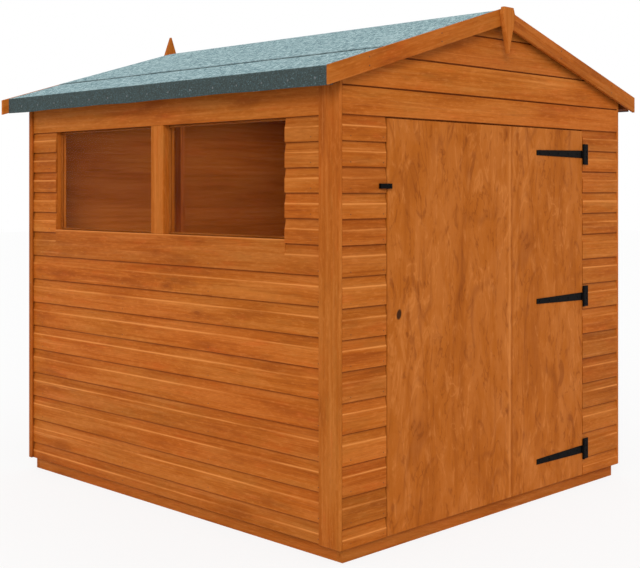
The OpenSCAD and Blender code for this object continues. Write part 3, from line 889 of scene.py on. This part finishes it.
class SHED_OT_bargeboards(bpy.types.Operator):
    """Nail the bargeboards and the two finials to the gables."""

    bl_idname = "shed.bargeboards"
    bl_label = "Bargeboards and finials"

    def execute(self, context):
        arris = context.scene.shed_timber.arris
        wood = timber_material("Trim timber", contrast=0.16, knots=0.16)
        dice = Dice(6)
        for end in ("front", "back"):
            for sign, side in SIDES:
                self.bargeboard(f"bargeboard_{end}_{side}", sign, wood, dice, arris)
            self.finial(f"finial_{end}", wood, dice, arris)
        return {"FINISHED"}

    def bargeboard(self, node, sign, wood, dice, arris):
        """From the ridge to the eaves: P = (x, y, top - slope |x| + rise), its section upright at every x."""
        lo, hi = low(node), high(node)
        reach = high("bargeboard_front_right")[0]
        height = hi[2] - lo[2] - SLOPE * reach
        out, rise = section_box(hi[1] - lo[1], height, arris).T
        x = sign * reach * np.linspace(0, 1, 14)[:, None]
        y = (lo[1] + hi[1]) / 2 + out
        grid = xyz(x, y, hi[2] - height / 2 - SLOPE * np.abs(x) + rise)
        grain = xyz(x * PLUMB, rise, y - lo[1]) + dice.heart()
        piece = Piece()
        piece.tube(grid, grain, dice.tone())
        piece.build(node + "_eased", SHED, "trim_timber", wood, (node,))

    def finial(self, node, wood, dice, arris):
        """Kite outline carried through the plank, pulled in by the arris at both faces; a cut one is flat on top."""
        lo, hi = low(node), high(node)
        half = hi[0]
        points = node_points(node)
        widest = float(points[points[:, 0] > half - 1e-4][:, 2].mean())
        flat = float(points[points[:, 2] > hi[2] - 1e-4][:, 0].max())
        corners = [(-half, widest), (0.0, lo[2]), (half, widest), (flat, hi[2])]
        if flat > 0.002:
            corners.append((-flat, hi[2]))
        centre, size = np.array([0.0, (lo[2] + hi[2]) / 2]), np.array([half, (hi[2] - lo[2]) / 2])
        pull = np.array([1, 0, 0, 1])[:, None, None] * arris / size
        kite = (np.array(corners) - centre) * (1 - pull) + centre
        y = np.array([lo[1], lo[1] + arris, hi[1] - arris, hi[1]])[:, None]
        grid = xyz(kite[..., 0], y, kite[..., 1])
        grain = xyz(kite[..., 1], kite[..., 0], y - lo[1]) + dice.heart()
        piece = Piece()
        piece.tube(grid, grain, 0.62)
        piece.build(node + "_eased", SHED, "trim_timber", wood, (node,))


# ---- Windows


class SHED_OT_windows(bpy.types.Operator):
    """Face the mullion, glaze the windows and bead the panes."""

    bl_idname = "shed.windows"
    bl_label = "Windows"

    def execute(self, context):
        dice, bead = Dice(7), context.scene.shed_timber.bead
        piece = Piece()
        inner = low("window_mullion"), high("window_mullion")
        straight_timber(piece, *inner, 2, dice, 0.0015, tone=0.6)
        piece.build("mullion_eased", SHED, "wall_boards", bpy.data.materials["Trim timber"], ("window_mullion",))
        set_node_material(glass_material(), "window_panes")

        # Square beads on the room side of each pane.
        piece = Piece()
        lo, hi = low("window_panes"), high("window_panes")
        x0, x1 = hi[0], hi[0] + bead
        for a, b in ((lo[1], inner[0][1]), (inner[1][1], hi[1])):
            for z in (SILL_Z, HEAD_Z - bead):
                straight_timber(piece, (x0, a, z), (x1, b, z + bead), 1, dice, 0.0025)
            for y in (a, b - bead):
                straight_timber(piece, (x0, y, SILL_Z + bead), (x1, y + bead, HEAD_Z - bead), 2, dice, 0.0025)
        # darken 0.35 is painted shade, which keeps the beads' faces dim where the main light reaches them through the
        # clear sheet.
        wood = timber_material("Glazing beads", contrast=0.16, knots=0.0, darken=0.35)
        piece.build("glazing_beads", SHED, "trim_timber", wood)
        return {"FINISHED"}


# ---- Roof


class SHED_OT_roof(bpy.types.Operator):
    """Lay the roof boards, the felt and its nails."""

    bl_idname = "shed.roof"
    bl_label = "Roof"

    def execute(self, context):
        f = context.scene.shed_felt
        felt = felt_material()
        self.deck(context.scene.shed_timber.roof_board)
        for sign, side in SIDES:
            self.slope_sheet(felt, f.bend, sign, side)
        self.ridge_sheet(felt)
        self.nails(f, context.scene.shed_iron)
        return {"FINISHED"}

    def deck(self, width):
        """Boards along the roof, each a flat strip of the deck between two distances from the ridge."""
        # darken 0.45 is painted shade: the deck's underside shows only in the dark gap under the eaves.
        wood = timber_material("Roof boards", rough=True, contrast=0.45, knots=0.4, darken=0.45)
        dice, gap = Dice(8), 0.0008
        thick = high("roof_deck_right")[2] - APEX_Z
        y = np.linspace(*ROOF_Y, 8)[:, None]
        edges = np.append(np.arange(0.0, DECK_X - 0.03, width), DECK_X)
        for sign, side in SIDES:
            piece = Piece()
            for a, b in zip(edges, edges[1:] - gap):
                x = np.array([a, b, b, a])
                z = APEX_Z - SLOPE * x + np.array([0, 0, thick, thick])
                grain = xyz(y, x - (a + b) / 2, z - z[0]) + dice.heart()
                piece.tube(xyz(sign * x, y, z), grain, dice.tone())
            piece.build(f"roof_boards_{side}", SHED, "roof_boards", wood, (f"roof_deck_{side}",))

    def slope_sheet(self, felt, bend, sign, side):
        """Felt from the ridge down the slope and over the eaves.

        The line across it is the slope, a quarter turn, then the drop. Thickness points inwards.
        """
        node, thin = f"roof_felt_{side}", 0.0022
        lo, hi = low(node), high(node)
        x_out = max(abs(lo[0]), abs(hi[0]))
        xs = np.linspace(0.0, x_out - bend, 26)
        top_z = hi[2] - SLOPE * xs
        turn = np.linspace(0, 1, 6)[1:] * (math.pi / 2)
        bend_z = top_z[-1] - bend + bend * np.cos(turn)
        drop_z = np.linspace(bend_z[-1], lo[2], 7)[1:]
        line_x = np.concatenate([xs, x_out - bend + bend * np.sin(turn), np.full(6, x_out)])
        line_z = np.concatenate([top_z, bend_z, drop_z])
        fold = np.concatenate([np.zeros(26), np.linspace(0.2, 1, 5), np.ones(6)])
        y = np.linspace(*ROOF_Y, 60)[:, None]
        p = Dice(9).phases(4)
        ripple = 0.0004 * (1 + np.sin(9 * y + p[0]) * np.sin(7 * line_x + p[1]))
        hem = np.zeros((60, len(line_x)))
        hem[:, -1:] = 0.0018 * (1 + np.sin(11 * y + p[2]) * np.sin(4.3 * y + p[3]))
        outer = xyz(sign * (line_x - ripple * fold), y, line_z - ripple * (1 - fold) + hem)
        inner = outer - thin * xyz(sign * fold, 0.0, 1 - fold)
        grid = np.concatenate([outer, inner[:, ::-1]], axis=1)
        piece = Piece()
        piece.tube(grid, grid, shade=np.concatenate([fold, fold[::-1]]))
        piece.build(f"felt_slope_{side}", SHED, "roof_felt", felt, (node,), sharp=40)

    def ridge_sheet(self, felt):
        """Ridge felt: a strip over both slopes whose lower edges wander by 2 mm and carry a painted shadow."""
        hi = high("roof_felt_ridge")
        v = np.linspace(-1, 1, 41)
        y = np.linspace(*ROOF_Y, 60)[:, None]
        p = Dice(10).phases(4)
        x = v * (hi[0] - 0.002 + 0.002 * np.sin(8.7 * y + p[0]) * np.sin(3.1 * y + p[1]))
        ripple = 0.0004 * (1 + np.sin(8 * y + p[2]) * np.sin(9 * x + p[3]))
        curl = 0.0008 * np.clip((np.abs(v) - 0.95) / 0.05, 0, 1) * np.sin(5.0 * y) ** 2
        outer = xyz(x, y, hi[2] - SLOPE * np.sqrt(x * x + 0.012**2) - ripple + curl)
        inner = outer - (0.0, 0.0, 0.0024)
        grid = np.concatenate([outer, inner[:, ::-1]], axis=1)
        # Painted shadow of the lap: the outer 1.5 % of each side goes half way to the folded colour.
        rim = np.clip((np.abs(v) - 0.985) / 0.015, 0, 1) * 0.5
        piece = Piece()
        piece.tube(grid, grid, shade=np.concatenate([rim, np.ones(len(v))]))
        piece.build("felt_ridge", SHED, "roof_felt", felt, ("roof_felt_ridge",), sharp=40)

    def nails(self, f, iron):
        """Clout nails along both laps and both eaves drops."""
        piece = Piece()
        ridge, eave = high("roof_felt_ridge"), high("roof_felt_right")[0]
        low_z = low("roof_felt_right")[2] + 0.03
        ys = np.arange(ROOF_Y[0] + 0.05, ROOF_Y[1] - 0.03, f.nail_gap)
        for sign, _ in SIDES:
            x = ridge[0] - 0.025
            for y in ys:
                centre = (sign * x, y, ridge[2] - SLOPE * x - 0.0006)
                disc(piece, centre, (sign * SLOPE, 0, 1), iron.clout_r, 0.0011)
            for y in ys + 0.04:
                disc(piece, (sign * (eave - 0.0008), y, low_z), (sign, 0, 0), iron.clout_r, 0.0008)
        piece.build("felt_nails", SHED, "black_iron", nail_material("Clout nails", iron.zinc))


# ---- Door


def joint_shade(grid, joint):
    """A dark line at the joint of the door's sheets, and a pale margin, 0.9 (1 - distance / 28 mm), on the wide one."""
    away = np.abs(grid[..., 0] - joint)
    return np.where(away < 0.0016, 0.35, -0.9 * np.clip(1 - away / 0.028, 0, 1) * (grid[..., 0] < joint))


class SHED_OT_door(bpy.types.Operator):
    """Face the door with its two ply sheets over ledges and braces."""

    bl_idname = "shed.door"
    bl_label = "Door"

    def execute(self, context):
        ply, dice = ply_material("Door ply"), Dice(11)
        joint = high("door_sheet_wide")[0]
        shade = lambda grid: joint_shade(grid, joint)
        for node in ("door_sheet_wide", "door_sheet_narrow"):
            piece = Piece()
            points = {"stations": 20, "steps": (64, 1)}  # close enough for the shade to follow the joint
            straight_timber(piece, low(node), high(node), 2, dice, 0.0012, tone=0.5, shade=shade, **points)
            piece.build(node + "_ply", DOOR, "door_timber", ply, (node,))
        set_node_material(timber_material("Door ledges", rough=True, axis=0), "door_ledges")
        set_node_material(timber_material("Door braces", rough=True, axis=2), "door_braces")
        return {"FINISHED"}


# ---- Ironmongery


def hinge_heights():
    """Heights of the three hinges: middles of the separate solids in the plates' node."""
    z = np.sort(node_points("hinge_plates")[:, 2])
    parts = np.split(z, np.where(np.diff(z) > 0.2)[0] + 1)
    return np.array([(p.min() + p.max()) / 2 for p in parts])


class SHED_OT_ironmongery(bpy.types.Operator):
    """Blacken the hinges and latch, and drive their screws and the wall nails."""

    bl_idname = "shed.ironmongery"
    bl_label = "Ironmongery"

    def execute(self, context):
        iron, black = context.scene.shed_iron, iron_material()
        set_node_material(black, "hinge_straps", "hinge_plates", "door_latch", "latch_keeper")
        self.screws(iron, black)
        self.wall_nails(iron, courses(context.scene.shed_timber))
        return {"FINISHED"}

    def screws(self, iron, black):
        """Five screws in each strap, four in each plate and one in the latch."""
        outer, heights = -WALL_Y - 0.003, hinge_heights()

        def screw(x, y, z, radius=iron.screw_r, height=0.0016):
            disc(piece, (x, y, z), (0, -1, 0), radius, height, sides=12)

        piece = Piece()
        for z in heights:
            for x in np.linspace(low("hinge_straps")[0] + 0.022, high("hinge_straps")[0] - 0.05, 5):
                screw(x, outer, z)
        lo, hi = low("door_latch"), high("door_latch")
        screw(hi[0] - 0.007, lo[1], (lo[2] + hi[2]) / 2, 0.0035, 0.0014)
        piece.build("door_screws", DOOR, "black_iron", black)
        piece = Piece()
        plate = high("hinge_plates")
        half = plate[2] - heights.max()
        for z in heights:
            for share, offset in ((-0.72, -0.006), (-0.24, 0.008), (0.24, 0.008), (0.72, -0.006)):
                screw(plate[0] - 0.016 + offset, outer, z + share * half)
        piece.build("wall_screws", SHED, "black_iron", black)

    def wall_nails(self, iron, laps):
        """Oval nails through each board where a stud stands behind it, and in pairs through the bargeboards."""
        piece = Piece()
        for z in laps[:-1] + 0.017:
            below = z < SILL_Z - 0.02
            for side, places in (
                ("right", (-0.995, -0.336, 0.336, 0.995)),
                ("left", (-0.94, -0.30, 0.30, 0.96) if below else (-0.90, 0.90)),
                ("back", (-0.87, -0.046, 0.87)),
                ("front", (-0.86, -0.69, 0.635, 0.86)),
            ):
                for a in places:
                    centre = WALLS[side].place(a, -HEAD_SHOWS, z)
                    disc(piece, centre, WALLS[side].out, iron.nail_r, HEAD_SHOWS)
        top = high("bargeboard_front_right")[2] - 0.035
        ends = (-1, low("bargeboard_front_left")[1] + 0.0002), (1, high("bargeboard_back_left")[1] - 0.0002)
        for x in (-0.80, -0.40, 0.40, 0.80):
            for sign, y in ends:
                for dz in (-0.016, 0.016):
                    disc(piece, (x, y, top - SLOPE * abs(x) + dz), (0, sign, 0), 0.0032, HEAD_SHOWS)
        piece.build("wall_nails", SHED, "black_iron", nail_material("Oval nails", iron.rust))


# ---- Floor and framing


class SHED_OT_frame_timber(bpy.types.Operator):
    """Lay the floorboards and give the studs, rails and bearers their sawn finish."""

    bl_idname = "shed.frame_timber"
    bl_label = "Floor and framing"

    def execute(self, context):
        for axis, letter, nodes in (
            (0, "X", ("back_wall_rails", "front_wall_rails", "gable_rafters")),
            (1, "Y", ("left_wall_rails", "right_wall_rails")),
            (2, "Z", ("right_wall_studs", "back_wall_studs", "front_wall_studs", "door_stops")),
        ):
            set_node_material(timber_material(f"Sawn timber {letter}", rough=True, axis=axis), *nodes)
        posts = timber_material("Window posts", axis=2, contrast=0.15, knots=0.1)
        set_node_material(posts, "left_wall_studs")
        for node, label, axis in (("floor_bearers", "Bearer timber", 1), ("floor_end_boards", "End boards", 0)):
            set_node_material(timber_material(label, axis=axis, contrast=0.3, knots=0.2, darken=0.1), node)
        # darken 0.6 is painted shade: the battens show only in the dark gap under the eaves.
        set_node_material(timber_material("Roof battens", rough=True, axis=1, darken=0.6), "roof_battens")

        dice, piece, count = Dice(12), Piece(), context.scene.shed_timber.floorboards
        lo, hi = low("floor_deck"), high("floor_deck")
        width, gap = (hi[1] - lo[1]) / count, 0.0004
        for y in lo[1] + np.arange(count) * width:
            straight_timber(piece, (lo[0], y + gap, lo[2]), (hi[0], y + width - gap, hi[2]), 0, dice, 0.0012)
        wood = timber_material("Floorboards", rough=True, knots=0.4)
        piece.build("floorboards", SHED, "floor_boards", wood, ("floor_deck",))
        return {"FINISHED"}


# ---- Stage


class SHED_OT_stage(bpy.types.Operator):
    """Set the floor, the even light, the soft main light and the camera."""

    bl_idname = "shed.stage"
    bl_label = "Stage"

    def execute(self, context):
        scene, stage = context.scene, context.scene.shed_stage
        camera = bpy.data.cameras.new("view")
        camera.sensor_width = 36.0
        camera.lens = stage.lens
        camera.shift_x, camera.shift_y = stage.shift
        camera.clip_end = 200
        eye = scene.camera = add_object("view", camera)
        eye.location = stage.eye
        eye.rotation_euler = (math.pi / 2, 0, -stage.heading)
        self.floor(stage)
        self.world(scene, stage.sky)
        self.lamps(stage)
        scene.view_settings.view_transform = "Standard"
        return {"FINISHED"}

    def floor(self, stage, half=30.0):
        """Pale floor that keeps the shadow, and is seen part of the way to plain white."""
        mesh = bpy.data.meshes.new("stage_floor")
        mesh.from_pydata([(-half, -half, 0), (half, -half, 0), (half, half, 0), (-half, half, 0)], [], [(0, 1, 2, 3)])
        floor = add_object("stage_floor", mesh)
        material, n, shader = new_material("Pale floor", gloss=0.0, roughness=0.9)
        shader.inputs["Base Color"].default_value = (stage.floor, stage.floor, stage.floor, 1)
        white = n.node("ShaderNodeEmission", {"Color": (1.0, 1.0, 1.0), "Strength": 1.0})
        seen = n.value("ShaderNodeLightPath", output="Is Camera Ray") * stage.whitening
        n.surface(seen, shader, white)
        mesh.materials.append(material)

    def world(self, scene, sky):
        """Even light, seen as plain white by the camera, in reflections and through clear sheet."""
        world = scene.world = bpy.data.worlds.new("Even light")
        world.use_nodes = True
        n = Nodes(world.node_tree)
        ground = next(x for x in world.node_tree.nodes if x.type == "BACKGROUND")
        path = n.node("ShaderNodeLightPath").outputs
        mirrored = n.math("MAXIMUM", path["Is Glossy Ray"], path["Is Transmission Ray"])
        seen = n.math("MAXIMUM", path["Is Camera Ray"], mirrored)
        ground.inputs["Color"].default_value = (1, 1, 1, 1)
        n.feed(ground.inputs["Strength"], n.remap(seen, 0.0, 1.0, sky, 1.0, kind="LINEAR"))

    def lamps(self, stage):
        lamp = bpy.data.lights.new("main_light", "SUN")
        lamp.energy, lamp.angle, lamp.color = stage.sun, stage.sun_size, (1.0, 0.985, 0.965)
        add_object("main_light", lamp).rotation_euler = (stage.sun_tilt, 0, stage.sun_turn)
        fill = bpy.data.lights.new("room_fill", "AREA")
        fill.shape, fill.size, fill.size_y = "RECTANGLE", 1.2, 1.6
        fill.energy, fill.color = stage.room, (1.0, 0.97, 0.93)
        inside = add_object("room_fill", fill)
        inside.location = (0.0, 0.0, PLATE_Z - 0.02)
        inside.visible_camera = inside.visible_glossy = inside.visible_transmission = False


# ---- Panel and registration


class SHED_PT_panel(bpy.types.Panel):
    """Lists the shed's parts and settings."""

    bl_idname = "SHED_PT_panel"
    bl_label = "Apex shed"
    bl_space_type = "VIEW_3D"
    bl_region_type = "UI"
    bl_category = "Shed"

    def draw(self, context):
        column = self.layout.column()
        for operator in OPERATORS:
            column.operator(operator.bl_idname)
        for name in SETTINGS:
            group = getattr(context.scene, name)
            for prop in group.bl_rna.properties:
                if prop.identifier not in ("rna_type", "name"):
                    column.prop(group, prop.identifier)


OPERATORS = (
    SHED_OT_stage,
    SHED_OT_walls,
    SHED_OT_trims,
    SHED_OT_bargeboards,
    SHED_OT_windows,
    SHED_OT_roof,
    SHED_OT_door,
    SHED_OT_ironmongery,
    SHED_OT_frame_timber,
)
SETTINGS = {
    "shed_timber": TimberSettings,
    "shed_felt": FeltSettings,
    "shed_iron": IronSettings,
    "shed_stage": StageSettings,
}


def register():
    for cls in (*SETTINGS.values(), *OPERATORS, SHED_PT_panel):
        bpy.utils.register_class(cls)
    for name, cls in SETTINGS.items():
        setattr(bpy.types.Scene, name, bpy.props.PointerProperty(type=cls))


def unregister():
    for name in SETTINGS:
        delattr(bpy.types.Scene, name)
    for cls in reversed((*SETTINGS.values(), *OPERATORS, SHED_PT_panel)):
        bpy.utils.unregister_class(cls)


def main():
    register()
    timber_figure_group()
    ply_figure_group()
    granule_group()
    for operator in OPERATORS:
        group, name = operator.bl_idname.split(".")
        getattr(getattr(bpy.ops, group), name)()


if __name__ == "__main__":
    main()
